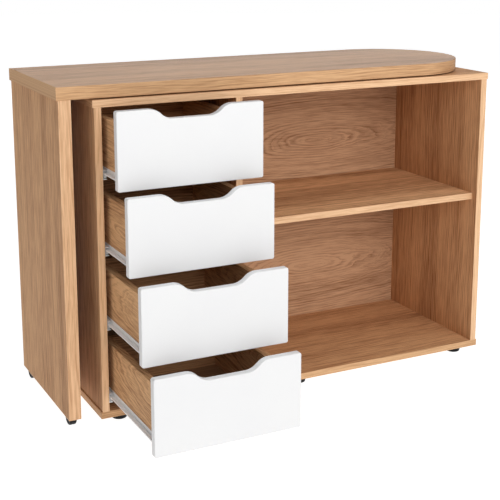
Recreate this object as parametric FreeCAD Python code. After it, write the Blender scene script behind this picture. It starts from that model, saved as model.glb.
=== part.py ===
"""Sewing table: a storage cabinet with four drawers and two open compartments,
carrying a worktop that swings about a pivot and stands on a leg with two castors.

Millimetres, +Z up, floor at Z = 0. While the pieces are drawn, X = 0 is the
cabinet's centre and Y = 0 the plane of its front edges, with +Y to the back.
Everything is moved to the centre of the whole table when it is written out.
"""
import FreeCAD, Part
import math
import os

V = FreeCAD.Vector
X_AXIS = V(1, 0, 0)
Y_AXIS = V(0, 1, 0)
Z_AXIS = V(0, 0, 1)

# ---------------------------------------------------------------- main sizes
table_height = 760.0
cabinet_width = 1028.0
cabinet_depth = 380.0
panel = 16.0
thick_board = 28.0
foot_height = 15.0
swing_gap = 3.0
leg_gap = 44.0
leg_inset = 4.0
leg_inset_depth = 1.5
worktop_setback = 6.5
worktop_end_inset = 4.0
side_inset = 3.0
drawer_bay_width = 314.0

# ---------------------------------------------------------------- clearances
fit = 0.05
running = 0.05
moving_gap = 0.3
groove_play = 0.2
shelf_play = 0.5

# ---------------------------------------------------------------- edge bands
band = 1.0
worktop_band = 2.0
worktop_round = 1.0

# ---------------------------------------------------------------- cabinet heights and widths
cabinet_top = table_height - thick_board - swing_gap
top_underside = cabinet_top - panel
bottom_top = foot_height + panel
half_width = cabinet_width / 2
side_outer = half_width - side_inset
side_inner = side_outer - panel
divider_left = -side_inner + drawer_bay_width
divider_right = divider_left + panel
divider_mid = divider_left + panel / 2
side_mid = side_inner + panel / 2

# ---------------------------------------------------------------- back panel
back_thick = 3.0
back_inset = 4.0
groove_depth = 6.0
back_front_y = cabinet_depth - back_inset - back_thick

# ---------------------------------------------------------------- shelf and its pins
shelf_underside = bottom_top + 374.0
shelf_setback = 19.0
shelf_back_gap = 2.0
shelf_pin_r = 2.5
shelf_pin_in = 9.0
shelf_pin_out = 9.0
shelf_pin_rows = (48.0, cabinet_depth - 38.0)

# ---------------------------------------------------------------- feet
foot_top_r = 20.0
foot_bottom_r = 17.0
foot_edge_round = 2.0
foot_x = half_width - 52.0
foot_inset = 30.0
foot_screw_r = 1.9
foot_screw_up = 12.0
foot_recess_r = 5.0
foot_recess = 6.0
foot_head = 3.0

# ---------------------------------------------------------------- joints between the panels
dowel_r = 4.0
dowel_length = 30.0
dowel_in_panel = 10.0
middle_y = cabinet_depth / 2
top_dowel_rows = (middle_y - 140.0, middle_y + 140.0)
bottom_dowel_rows = (middle_y - 80.0, middle_y + 80.0)
top_screw_rows = (middle_y - 40.0, middle_y + 40.0)
bottom_screw_rows = (middle_y - 110.0, middle_y, middle_y + 110.0)
screw_head_r = 5.0
screw_head = 4.0
screw_shank_r = 3.0
screw_length = 50.0

# ---------------------------------------------------------------- worktop, pivot and leg
worktop_left = -half_width - leg_gap - thick_board - leg_inset
worktop_front = worktop_setback
worktop_back = cabinet_depth - worktop_setback
worktop_r = (worktop_back - worktop_front) / 2
pivot_x = half_width - worktop_end_inset - worktop_r
pivot_y = middle_y
worktop_underside = table_height - thick_board
leg_outer = worktop_left + leg_inset
leg_inner = leg_outer + thick_board
leg_mid = leg_outer + thick_board / 2
leg_front = worktop_front + leg_inset_depth
leg_back = worktop_back - leg_inset_depth
pivot_r = 5.0
pivot_in_worktop = 20.0
bushing_r = 8.0
bushing_flange_r = 35.0
nut_flange_r = 12.0
nut_flange = 1.5
nut_across_flats = 17.0
nut_height = 8.0
cam_r = 7.5
cam_depth = 12.5
cam_drop = 34.0
cam_bolt_r = 3.0
cam_bolt_up = 11.0
cam_rows = (middle_y - 120.0, middle_y + 120.0)

# ---------------------------------------------------------------- castors
wheel_r = 20.0
wheel_width = 16.0
wheel_edge_round = 3.0
wheel_hub_r = 7.0
wheel_dish = 1.5
wheel_rim = 4.0
axle_r = 2.5
wheel_room = 1.5
leg_lift = wheel_r + 2.0
housing_width = 21.0
housing_wall = 1.9
housing_roof = 2.5
housing_end = 2.0
housing_length = 2 * (wheel_r + wheel_room + housing_end)
housing_height = 2 * wheel_r + wheel_room + housing_roof - leg_lift
ear_r = 7.0
castor_inset = wheel_r + 12.0
castor_rows = (leg_front + castor_inset, leg_back - castor_inset)

# ---------------------------------------------------------------- drawers
drawer_names = ("drawer_1", "drawer_2", "drawer_3", "drawer_4")
pulled_out_share = (0.285, 0.435, 0.62, 0.79)
front_overlay = 9.0
front_thick = panel
front_gap = 2.5
front_top = top_underside + 8.0
front_low = bottom_top + 16.5
front_height = (front_top - front_low + front_gap) / len(drawer_names) - front_gap
front_closed_gap = 1.0
front_corner_r = 4.0
front_edge_round = 2.5
notch_width = 190.0
notch_depth = 22.0
notch_slope = 42.0
notch_r = 38.0
box_side = panel
box_gap = 12.5
box_length = back_front_y + front_closed_gap - 26.0
box_lift = 12.0
box_height = front_height - box_lift - 34.5
drawer_pulled_out = [share * box_length for share in pulled_out_share]
bottom_thick = 3.0
bottom_lift = 20.0
bottom_groove = 6.0

# ---------------------------------------------------------------- runners and rollers
steel = 1.2
rail_front = 3.0
rail_back_gap = 20.0
rail_length = back_front_y - rail_back_gap - rail_front
rail_flange = box_gap - steel - 1.3
rail_screw_inset = 35.0
rail_screw_rows = (
    rail_front + rail_screw_inset,
    rail_front + rail_length / 2,
    rail_front + rail_length - rail_screw_inset,
)
rail_screw_r = 1.75
rail_screw_in = 10.0
rail_screw_head_r = 3.0
rail_screw_head = 1.0
roller_r = 6.0
roller_width = box_gap - 6.5
roller_axle_r = 2.0
roller_head_r = 3.2
roller_head = 0.8
rolling_gap = 0.1
front_roller_y = rail_front + 9.0
front_roller_from_panel = 4.4
rear_roller_from_panel = 3.6
rear_roller_from_end = 7.0
track_top = 17.0
track_from_panel = 2.6
track_lip = 2.8
track_cut_back = 16.0
flange_top = 26.0
tab_low = 5.5
profile_setback = 2.0
profile_under = 14.0

front_roller_z = track_top - steel - rolling_gap - roller_r
rail_low = front_roller_z - roller_r - moving_gap - steel
rail_high = track_top + steel + 3.8
rear_roller_z = rail_low + steel + rolling_gap + roller_r

shapes = {}


def box(x0, x1, y0, y1, z0, z1):
    """Block between two opposite corners, given as limits along X, Y and Z."""
    low = V(min(x0, x1), min(y0, y1), min(z0, z1))
    return Part.makeBox(abs(x1 - x0), abs(y1 - y0), abs(z1 - z0), low)


def rod(radius, start, axis, length):
    """Round bar from a start point along an axis."""
    return Part.makeCylinder(radius, length, start, axis)


def keep(name, pieces):
    """Store a node, from one solid or a list of separate solids."""
    if isinstance(pieces, list):
        shapes[name] = pieces[0] if len(pieces) == 1 else Part.makeCompound(pieces)
    else:
        shapes[name] = pieces


def cut(shape, tools):
    """Shape with a list of tools taken out of it."""
    for tool in tools:
        shape = shape.cut(tool)
    return shape


# ---------------------------------------------------------------- fasteners of the carcass
def dowel(x, y, joint_z, up, play=0.0):
    """Dowel across a joint plane; the longer part is in the upright panel.

    up is +1 where the upright panel is above the joint, and -1 where it is below.
    """
    start = V(x, y, joint_z - up * dowel_in_panel)
    return rod(dowel_r + play, start, V(0, 0, up), dowel_length)


def panel_screw(x, y, face_z, up, play=0.0):
    """Screw from the outside face of a lying panel into an upright one."""
    head = rod(screw_head_r + play, V(x, y, face_z), V(0, 0, up), screw_head)
    shank = rod(screw_shank_r + play, V(x, y, face_z), V(0, 0, up), screw_length)
    return head.fuse(shank).removeSplitter()


upright_middles = (-side_mid, divider_mid, side_mid)


def carcass_dowels(play=0.0):
    """All the dowels of the carcass, or their holes when play is not zero."""
    found = []
    for x in upright_middles:
        for y in top_dowel_rows:
            found.append(dowel(x, y, top_underside, -1, play))
        for y in bottom_dowel_rows:
            found.append(dowel(x, y, bottom_top, 1, play))
    return found


def carcass_screws(play=0.0):
    """All the assembly screws of the carcass, or their holes when play is not zero."""
    found = []
    for x in upright_middles:
        for y in top_screw_rows:
            found.append(panel_screw(x, y, cabinet_top, -1, play))
        for y in bottom_screw_rows:
            found.append(panel_screw(x, y, foot_height, 1, play))
    return found


def foot_places():
    """Centres of the six feet, three along the front and three along the back."""
    rows = (foot_inset, cabinet_depth - foot_inset)
    return [(x, y) for y in rows for x in (-foot_x, 0.0, foot_x)]


def foot_screw(x, y, play=0.0):
    """Screw up through a foot into the bottom panel."""
    seat = foot_recess
    head = rod(foot_recess_r - 0.5, V(x, y, seat - foot_head), Z_AXIS, foot_head)
    length = foot_height - seat + foot_screw_up
    shank = rod(foot_screw_r + play, V(x, y, seat), Z_AXIS, length)
    return head.fuse(shank) if play == 0.0 else shank


def foot(x, y):
    """Tapered round foot with rounded lower edge and a recess for its screw."""
    body = Part.makeCone(foot_bottom_r, foot_top_r, foot_height, V(x, y, 0), Z_AXIS)
    lower = [e for e in body.Edges if e.BoundBox.ZMax < 0.01]
    body = body.makeFillet(foot_edge_round, lower)
    recess = rod(foot_recess_r, V(x, y, 0), Z_AXIS, foot_recess)
    hole = rod(foot_screw_r + fit, V(x, y, 0), Z_AXIS, foot_height)
    return cut(body, [recess, hole])


def shelf_pins(play=0.0):
    """Four pins under the shelf, half in the panel and half under the shelf."""
    found = []
    z = shelf_underside - shelf_pin_r
    length = shelf_pin_in + shelf_pin_out
    for y in shelf_pin_rows:
        left = V(divider_right - shelf_pin_in, y, z)
        right = V(side_inner + shelf_pin_in, y, z)
        found.append(rod(shelf_pin_r + play, left, X_AXIS, length))
        found.append(rod(shelf_pin_r + play, right, V(-1, 0, 0), length))
    return found


# ---------------------------------------------------------------- runner helpers
def front_bottom(index):
    """Height of the lower edge of a drawer's front, counted from the top drawer."""
    return front_top - front_height - index * (front_height + front_gap)


def bay_x(side, inward):
    """X at a distance into the drawer bay from its left (-1) or right (+1) wall."""
    return -side_inner + inward if side < 0 else divider_left - inward


def bay_box(side, d0, d1, y0, y1, z0, z1):
    """Block whose width is given as distances from a wall of the drawer bay."""
    return box(bay_x(side, d0), bay_x(side, d1), y0, y1, z0, z1)


def bay_rod(side, radius, d0, d1, y, z):
    """Round bar across the drawer bay, given as distances from one of its walls."""
    low = min(bay_x(side, d0), bay_x(side, d1))
    return rod(radius, V(low, y, z), X_AXIS, abs(d1 - d0))


def rail(side, z):
    """Channel screwed to a wall of the bay, open to the drawer, with a roller pin."""
    y0 = rail_front
    y1 = rail_front + rail_length
    web = bay_box(side, 0, steel, y0, y1, z + rail_low, z + rail_high)
    low = bay_box(side, 0, rail_flange, y0, y1, z + rail_low, z + rail_low + steel)
    high = bay_box(side, 0, rail_flange, y0, y1, z + rail_high - steel, z + rail_high)
    end = front_roller_from_panel + roller_width + moving_gap
    pin = bay_rod(side, roller_axle_r, steel, end, front_roller_y, z + front_roller_z)
    head = bay_rod(side, roller_head_r - 0.7, end, end + 0.3, front_roller_y, z + front_roller_z)
    channel = web.fuse([low, high, pin, head]).removeSplitter()
    holes = [rail_screw_hole(side, y, z) for y in rail_screw_rows]
    return cut(channel, holes)


def rail_screw_height(z):
    """Height of the screws of a rail whose drawer front has its lower edge at z."""
    return z + (rail_low + rail_high) / 2


def rail_screw(side, y, z):
    """Screw through a rail's web into the wall of the bay, head on the web."""
    height = rail_screw_height(z)
    shank = bay_rod(side, rail_screw_r, -rail_screw_in, steel, y, height)
    head = bay_rod(side, rail_screw_head_r, steel, steel + rail_screw_head, y, height)
    return shank.fuse(head)


def rail_screw_hole(side, y, z):
    """Hole for a rail's screw, through the web and into the wall of the bay."""
    return bay_rod(side, rail_screw_r + fit, -rail_screw_in, steel, y, rail_screw_height(z))


def roller(side, start, y, z):
    """Roller with a running bore and softened edges, start being its distance in."""
    body = bay_rod(side, roller_r, start, start + roller_width, y, z)
    body = body.makeChamfer(0.5, [e for e in body.Edges if e.Curve.TypeId == "Part::GeomCircle"])
    return body.cut(bay_rod(side, roller_axle_r + running, start - 1, start + roller_width + 1, y, z))


def drawer_profile(side, y0, z):
    """Profile on the lower corner of a drawer side, y0 being the front's back face.

    It has a flange up the side, a foot under it, a track outwards with a lip, and
    a tab at its rear end with the pin of the rear roller.
    """
    near = box_gap - steel
    a = y0 + profile_setback
    b = y0 + box_length
    up = bay_box(side, near, box_gap, a, b, z + box_lift - steel, z + flange_top)
    under_z = z + box_lift
    under = bay_box(side, near, box_gap + profile_under, a, b, under_z - steel, under_z)
    cut_y = b - track_cut_back
    track = bay_box(side, track_from_panel, near, a, cut_y, z + track_top - steel, z + track_top)
    lip_low = z + track_top - track_lip
    lip = bay_box(side, track_from_panel, track_from_panel + steel, a, cut_y, lip_low, z + track_top)
    tab = bay_box(side, near, box_gap, cut_y, b, z + tab_low, z + flange_top)
    pin_y = b - rear_roller_from_end
    start = rear_roller_from_panel - moving_gap
    pin = bay_rod(side, roller_axle_r, start, near, pin_y, z + rear_roller_z)
    head = bay_rod(side, roller_head_r - 0.7, start - 0.3, start, pin_y, z + rear_roller_z)
    return up.fuse([under, track, lip, tab, pin, head]).removeSplitter()


# ---------------------------------------------------------------- cabinet
dowel_holes = carcass_dowels(fit)
screw_holes = carcass_screws(fit)
pin_holes = shelf_pins(fit)
foot_holes = [foot_screw(x, y, fit) for x, y in foot_places()]
rail_holes = []
for index in range(len(drawer_names)):
    for side in (-1, 1):
        for y in rail_screw_rows:
            rail_holes.append(rail_screw_hole(side, y, front_bottom(index)))

groove = box(-side_inner - groove_depth, side_inner + groove_depth,
             back_front_y - groove_play, back_front_y + back_thick + groove_play,
             bottom_top - groove_depth, top_underside + groove_depth)
bushing_hole = rod(bushing_r + fit, V(pivot_x, pivot_y, top_underside), Z_AXIS, panel)

core_x = half_width - band
top_core = box(-core_x, core_x, band, cabinet_depth, top_underside, cabinet_top)
bottom_core = box(-core_x, core_x, band, cabinet_depth, foot_height, bottom_top)
keep("cabinet_top_panel", cut(top_core, [groove, bushing_hole] + dowel_holes + screw_holes))
keep("cabinet_bottom_panel", cut(bottom_core, [groove] + dowel_holes + screw_holes + foot_holes))

left_core = box(-side_outer, -side_inner, band, cabinet_depth, bottom_top, top_underside)
right_core = box(side_inner, side_outer, band, cabinet_depth, bottom_top, top_underside)
divider_core = box(divider_left, divider_right, band, back_front_y - groove_play,
                   bottom_top, top_underside)
upright_holes = dowel_holes + screw_holes + rail_holes + pin_holes
keep("left_side_panel", cut(left_core, [groove] + upright_holes))
keep("right_side_panel", cut(right_core, [groove] + upright_holes))
keep("divider_panel", cut(divider_core, upright_holes))

back_reach = groove_depth - groove_play
keep("back_panel", box(-side_inner - back_reach, side_inner + back_reach,
                       back_front_y, back_front_y + back_thick,
                       bottom_top - back_reach, top_underside + back_reach))

shelf_left = divider_right + shelf_play
shelf_right = side_inner - shelf_play
shelf_back = back_front_y - shelf_back_gap
shelf_top = shelf_underside + panel
keep("adjustable_shelf", box(shelf_left, shelf_right, shelf_setback + band, shelf_back,
                             shelf_underside, shelf_top))

bands = []
for z0, z1 in ((top_underside, cabinet_top), (foot_height, bottom_top)):
    bands.append(box(-half_width, half_width, 0, band, z0, z1))
    bands.append(box(-half_width, -core_x, band, cabinet_depth, z0, z1))
    bands.append(box(core_x, half_width, band, cabinet_depth, z0, z1))
for x0, x1 in ((-side_outer, -side_inner), (divider_left, divider_right), (side_inner, side_outer)):
    bands.append(box(x0, x1, 0, band, bottom_top, top_underside))
bands.append(box(shelf_left, shelf_right, shelf_setback, shelf_setback + band,
                 shelf_underside, shelf_top))
keep("cabinet_edge_bands", bands)

keep("shelf_pins", shelf_pins())
keep("glide_feet", [foot(x, y) for x, y in foot_places()])
keep("foot_screws", [foot_screw(x, y) for x, y in foot_places()])
keep("panel_dowels", carcass_dowels())
keep("assembly_screws", carcass_screws())

flange_thick = swing_gap - moving_gap
flange = rod(bushing_flange_r, V(pivot_x, pivot_y, cabinet_top), Z_AXIS, flange_thick)
sleeve = rod(bushing_r, V(pivot_x, pivot_y, top_underside), Z_AXIS, panel)
bushing_bore = rod(pivot_r + running, V(pivot_x, pivot_y, top_underside), Z_AXIS, panel + swing_gap)
keep("pivot_bushing", flange.fuse(sleeve).removeSplitter().cut(bushing_bore))

rails = []
rail_screws = []
for index in range(len(drawer_names)):
    z = front_bottom(index)
    for side in (-1, 1):
        rails.append(rail(side, z))
        for y in rail_screw_rows:
            rail_screws.append(rail_screw(side, y, z))
keep("runner_rails", rails)
keep("runner_rail_screws", rail_screws)


# ---------------------------------------------------------------- swinging worktop
def worktop_outline(inset, z0, z1):
    """Slab with a square left end and a half-round right end about the pivot."""
    r = worktop_r - inset
    left = worktop_left + inset
    slab = box(left, pivot_x, pivot_y - r, pivot_y + r, z0, z1)
    end = rod(r, V(pivot_x, pivot_y, z0), Z_AXIS, z1 - z0)
    return slab.fuse(end).removeSplitter()


def cam_place(y):
    """Centre of a cam on the leg's inner face."""
    return V(leg_inner, y, worktop_underside - cam_drop)


def cam(y, play=0.0):
    """Round cam let into the leg's inner face, clear of its bolt."""
    return rod(cam_r + play, cam_place(y), V(-1, 0, 0), cam_depth + play)


def cam_bolt(y, play=0.0):
    """Upright bolt from the worktop down to the cam's middle."""
    x = leg_inner - cam_depth / 2
    z0 = worktop_underside - cam_drop
    return rod(cam_bolt_r + play, V(x, y, z0), Z_AXIS, cam_drop + cam_bolt_up + play)


outer = worktop_outline(0.0, worktop_underside, table_height)
inner = worktop_outline(worktop_band, worktop_underside, table_height)
rounded = [e for e in outer.Edges
           if e.BoundBox.ZMax - e.BoundBox.ZMin < 0.01]
outer = outer.makeFillet(worktop_round, rounded)
pivot_low = top_underside - moving_gap - nut_flange - nut_height - 2.0
pivot_length = worktop_underside + pivot_in_worktop - pivot_low
pivot_bolt = rod(pivot_r, V(pivot_x, pivot_y, pivot_low), Z_AXIS, pivot_length)
bolt_holes = [cam_bolt(y, fit) for y in cam_rows]
keep("worktop_board", cut(inner, [pivot_bolt] + bolt_holes))
keep("worktop_edge_band", outer.cut(inner))
keep("pivot_bolt", pivot_bolt)

nut_top = top_underside - moving_gap
nut_flange_disc = rod(nut_flange_r, V(pivot_x, pivot_y, nut_top - nut_flange), Z_AXIS, nut_flange)
hex_r = nut_across_flats / 2 / math.cos(math.pi / 6)
hex_low = nut_top - nut_flange - nut_height
corners = []
for step in range(7):
    angle = math.radians(60 * step)
    corners.append(V(pivot_x + hex_r * math.cos(angle), pivot_y + hex_r * math.sin(angle), hex_low))
hexagon = Part.Face(Part.makePolygon(corners)).extrude(V(0, 0, nut_height))
keep("pivot_nut", nut_flange_disc.fuse(hexagon).cut(pivot_bolt))

leg_core = box(leg_outer, leg_inner, leg_front + band, leg_back - band,
               leg_lift + band, worktop_underside)
housing_half = housing_width / 2
pockets = []
for y in castor_rows:
    pockets.append(box(leg_mid - housing_half - fit, leg_mid + housing_half + fit,
                       y - housing_length / 2 - fit, y + housing_length / 2 + fit,
                       leg_lift, leg_lift + housing_height + fit))
cam_holes = [cam(y, fit) for y in cam_rows]
keep("leg_panel", cut(leg_core, pockets + cam_holes + bolt_holes))
leg_bands = [
    box(leg_outer, leg_inner, leg_front, leg_front + band, leg_lift, worktop_underside),
    box(leg_outer, leg_inner, leg_back - band, leg_back, leg_lift, worktop_underside),
    cut(box(leg_outer, leg_inner, leg_front + band, leg_back - band, leg_lift, leg_lift + band),
        pockets),
]
keep("leg_edge_bands", leg_bands)
cam_bolts = [cam_bolt(y) for y in cam_rows]
keep("leg_cam_locks", [cam(y).cut(cam_bolt(y, fit)) for y in cam_rows])
keep("leg_cam_bolts", cam_bolts)


# ---------------------------------------------------------------- castors
def housing(y):
    """Housing pushed into the leg's lower edge, with two ears for the axle."""
    x0 = leg_mid - housing_half
    x1 = leg_mid + housing_half
    half = housing_length / 2
    body = box(x0, x1, y - half, y + half, leg_lift, leg_lift + housing_height)
    ears = rod(ear_r, V(x0, y, wheel_r), X_AXIS, housing_width)
    fill = box(x0, x1, y - ear_r, y + ear_r, wheel_r, leg_lift)
    room = box(x0 + housing_wall, x1 - housing_wall,
               y - wheel_r - wheel_room, y + wheel_r + wheel_room,
               0, wheel_r + wheel_r + wheel_room)
    return cut(body.fuse([ears, fill]).removeSplitter(), [room, axle(y)])


def axle(y):
    """Steel axle through both ears of a castor housing."""
    return rod(axle_r, V(leg_mid - housing_half, y, wheel_r), X_AXIS, housing_width)


def castor_wheel(y):
    """Wheel with a rounded tread, dished sides and a running bore."""
    x0 = leg_mid - wheel_width / 2
    body = rod(wheel_r, V(x0, y, wheel_r), X_AXIS, wheel_width)
    rims = [e for e in body.Edges if e.Curve.TypeId == "Part::GeomCircle"]
    body = body.makeFillet(wheel_edge_round, rims)
    bore = rod(axle_r + running, V(x0 - 1, y, wheel_r), X_AXIS, wheel_width + 2)
    tools = [bore]
    for start in (x0, x0 + wheel_width - wheel_dish):
        ring = rod(wheel_r - wheel_rim, V(start, y, wheel_r), X_AXIS, wheel_dish)
        hub = rod(wheel_hub_r, V(start, y, wheel_r), X_AXIS, wheel_dish)
        tools.append(ring.cut(hub))
    return cut(body, tools)


keep("castor_housings", [housing(y) for y in castor_rows])
keep("castor_axles", [axle(y) for y in castor_rows])
keep("front_castor_wheel", castor_wheel(castor_rows[0]))
keep("rear_castor_wheel", castor_wheel(castor_rows[1]))


# ---------------------------------------------------------------- drawers
def notch_profile(x_mid, top, over):
    """Finger notch as a closed face at Y = 0, reaching a little over the top edge.

    Each flank is a round shoulder, a straight slope and a round foot, tangent to
    each other; over is how far the cutter stands above the edge.
    """
    slope = math.radians(notch_slope)
    rise = notch_depth - 2 * notch_r * (1 - math.cos(slope))
    straight = rise / math.sin(slope)
    across = 2 * notch_r * math.sin(slope) + straight * math.cos(slope)
    half = notch_width / 2
    low = top - notch_depth
    arc_x = notch_r * math.sin(slope)
    arc_z = notch_r * (1 - math.cos(slope))
    mid_x = notch_r * math.sin(slope / 2)
    mid_z = notch_r * (1 - math.cos(slope / 2))
    flank = []
    for s in (-1, 1):
        shoulder = V(x_mid + s * half, 0, top)
        shoulder_mid = V(x_mid + s * (half - mid_x), 0, top - mid_z)
        shoulder_end = V(x_mid + s * (half - arc_x), 0, top - arc_z)
        foot_start = V(x_mid + s * (half - across + arc_x), 0, low + arc_z)
        foot_mid = V(x_mid + s * (half - across + mid_x), 0, low + mid_z)
        foot_end = V(x_mid + s * (half - across), 0, low)
        flank.append((shoulder, shoulder_mid, shoulder_end, foot_start, foot_mid, foot_end))
    a, b = flank
    edges = [
        Part.Arc(a[0], a[1], a[2]).toShape(),
        Part.makeLine(a[2], a[3]),
        Part.Arc(a[3], a[4], a[5]).toShape(),
        Part.makeLine(a[5], b[5]),
        Part.Arc(b[5], b[4], b[3]).toShape(),
        Part.makeLine(b[3], b[2]),
        Part.Arc(b[2], b[1], b[0]).toShape(),
        Part.makeLine(b[0], b[0] + V(0, 0, over)),
        Part.makeLine(b[0] + V(0, 0, over), a[0] + V(0, 0, over)),
        Part.makeLine(a[0] + V(0, 0, over), a[0]),
    ]
    return Part.Face(Part.Wire(edges))


def drawer_front(y, z):
    """Front whose outer face is at y and lower edge at z, notched and rounded."""
    x0 = -side_inner - front_overlay
    x1 = divider_left + front_overlay
    plate = box(x0, x1, y, y + front_thick, z, z + front_height)
    corners = [e for e in plate.Edges if abs(e.BoundBox.YMax - e.BoundBox.YMin) > front_thick - 0.1]
    plate = plate.makeFillet(front_corner_r, corners)
    notch = notch_profile((x0 + x1) / 2, z + front_height, 5.0)
    notch.translate(V(0, y - 1, 0))
    plate = plate.cut(notch.extrude(V(0, front_thick + 2, 0)))
    outer_edges = [e for e in plate.Edges if e.BoundBox.YMax < y + 0.01]
    plate = plate.makeFillet(front_edge_round, outer_edges)
    return plate.cut(bottom_groove_tool(y + front_thick, z))


def bottom_groove_tool(y0, z):
    """Room for the drawer's bottom, y0 being the front's back face."""
    left = bay_x(-1, box_gap + box_side - bottom_groove)
    right = bay_x(1, box_gap + box_side - bottom_groove)
    low = z + bottom_lift - groove_play / 2
    return box(left, right, y0 - bottom_groove, y0 + box_length + 1,
               low, low + bottom_thick + groove_play)


for index, name in enumerate(drawer_names):
    z = front_bottom(index)
    y = -front_closed_gap - front_thick - drawer_pulled_out[index]
    y0 = y + front_thick
    y1 = y0 + box_length
    room = bottom_groove_tool(y0, z)
    low = z + box_lift
    high = low + box_height
    keep(name + "_front", drawer_front(y, z))
    for side, word in ((-1, "_left_side"), (1, "_right_side")):
        board = bay_box(side, box_gap, box_gap + box_side, y0, y1, low, high)
        keep(name + word, board.cut(room))
    inner_gap = box_gap + box_side
    bottom_top_z = z + bottom_lift + bottom_thick
    keep(name + "_back", box(bay_x(-1, inner_gap), bay_x(1, inner_gap),
                             y1 - box_side, y1, bottom_top_z, high))
    reach = inner_gap - bottom_groove + groove_play
    keep(name + "_bottom", box(bay_x(-1, reach), bay_x(1, reach),
                               y0 - bottom_groove + groove_play, y1,
                               z + bottom_lift, bottom_top_z))
    keep(name + "_runners", [drawer_profile(side, y0, z) for side in (-1, 1)])
    rear_y = y1 - rear_roller_from_end
    keep(name + "_rollers", [roller(side, rear_roller_from_panel, rear_y, z + rear_roller_z)
                             for side in (-1, 1)])
    keep("cabinet_rollers_" + str(index + 1),
         [roller(side, front_roller_from_panel, front_roller_y, z + front_roller_z)
          for side in (-1, 1)])

# ---------------------------------------------------------------- write the nodes
front_y = -front_closed_gap - front_thick - max(drawer_pulled_out)
to_centre = V(-(worktop_left + half_width) / 2, -(front_y + cabinet_depth) / 2, 0)
os.makedirs("parts", exist_ok=True)
for name, shape in shapes.items():
    placed = shape.copy()
    placed.translate(to_centre)
    placed.exportStep("parts/" + name + ".step")
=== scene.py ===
"""Sewing table: oak-finished cabinet with white drawer fronts and a swinging worktop.

Metres, +Z up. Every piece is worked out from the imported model's boxes.
"""

import math

import bmesh
import bpy
import numpy as np
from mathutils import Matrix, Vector


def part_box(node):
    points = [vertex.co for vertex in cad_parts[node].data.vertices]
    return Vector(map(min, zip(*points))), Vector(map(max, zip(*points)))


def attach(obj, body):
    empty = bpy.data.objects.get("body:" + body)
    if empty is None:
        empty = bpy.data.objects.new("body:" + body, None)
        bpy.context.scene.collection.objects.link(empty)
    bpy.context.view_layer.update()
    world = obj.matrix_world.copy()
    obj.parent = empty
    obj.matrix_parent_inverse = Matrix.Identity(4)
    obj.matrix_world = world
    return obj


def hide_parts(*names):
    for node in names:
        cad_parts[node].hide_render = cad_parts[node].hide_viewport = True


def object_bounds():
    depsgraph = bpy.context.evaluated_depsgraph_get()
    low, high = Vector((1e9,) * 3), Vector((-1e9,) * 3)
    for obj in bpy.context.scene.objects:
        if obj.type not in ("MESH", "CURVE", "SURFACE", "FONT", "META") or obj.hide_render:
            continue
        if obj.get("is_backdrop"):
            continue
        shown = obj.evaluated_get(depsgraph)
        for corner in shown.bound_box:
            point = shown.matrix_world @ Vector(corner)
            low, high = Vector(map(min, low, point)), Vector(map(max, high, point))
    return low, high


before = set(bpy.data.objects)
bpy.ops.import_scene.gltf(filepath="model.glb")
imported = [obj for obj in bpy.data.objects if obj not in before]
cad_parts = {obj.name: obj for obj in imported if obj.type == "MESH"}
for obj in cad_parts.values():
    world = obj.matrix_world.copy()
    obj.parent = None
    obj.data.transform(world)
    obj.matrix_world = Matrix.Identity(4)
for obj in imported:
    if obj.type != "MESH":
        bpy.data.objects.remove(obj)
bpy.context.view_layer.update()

MM = 0.001
rng = np.random.default_rng(11)


# ---------------------------------------------------------------- shader maths
class Wire:
    """One output socket of a finish; the operators add Math nodes after it."""

    def __init__(self, finish, socket):
        self.finish = finish
        self.socket = socket

    def math(self, operation, *others, **settings):
        values = dict(enumerate((self,) + others))
        return self.finish.node("ShaderNodeMath", dict(operation=operation, **settings), values)

    def flipped(self, operation, other):
        return self.finish.node("ShaderNodeMath", {"operation": operation}, {0: other, 1: self})

    def __add__(self, other):
        return self.math("ADD", other)

    def __radd__(self, other):
        return self.flipped("ADD", other)

    def __sub__(self, other):
        return self.math("SUBTRACT", other)

    def __rsub__(self, other):
        return self.flipped("SUBTRACT", other)

    def __mul__(self, other):
        return self.math("MULTIPLY", other)

    def __rmul__(self, other):
        return self.flipped("MULTIPLY", other)

    def __truediv__(self, other):
        return self.math("DIVIDE", other)

    def __pow__(self, other):
        return self.math("POWER", other)

    def root(self):
        return self.math("SQRT")

    def fraction(self):
        return self.math("FRACT")

    def wrapped(self, low, high):
        return self.math("WRAP", high, low)

    def clamped(self):
        return self.math("ADD", 0.0, use_clamp=True)

    def between(self, low, high):
        """Rises smoothly from 0 at low to 1 at high."""
        settings = {"interpolation_type": "SMOOTHSTEP"}
        return self.finish.node("ShaderNodeMapRange", settings, {0: self, 1: low, 2: high})


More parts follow.
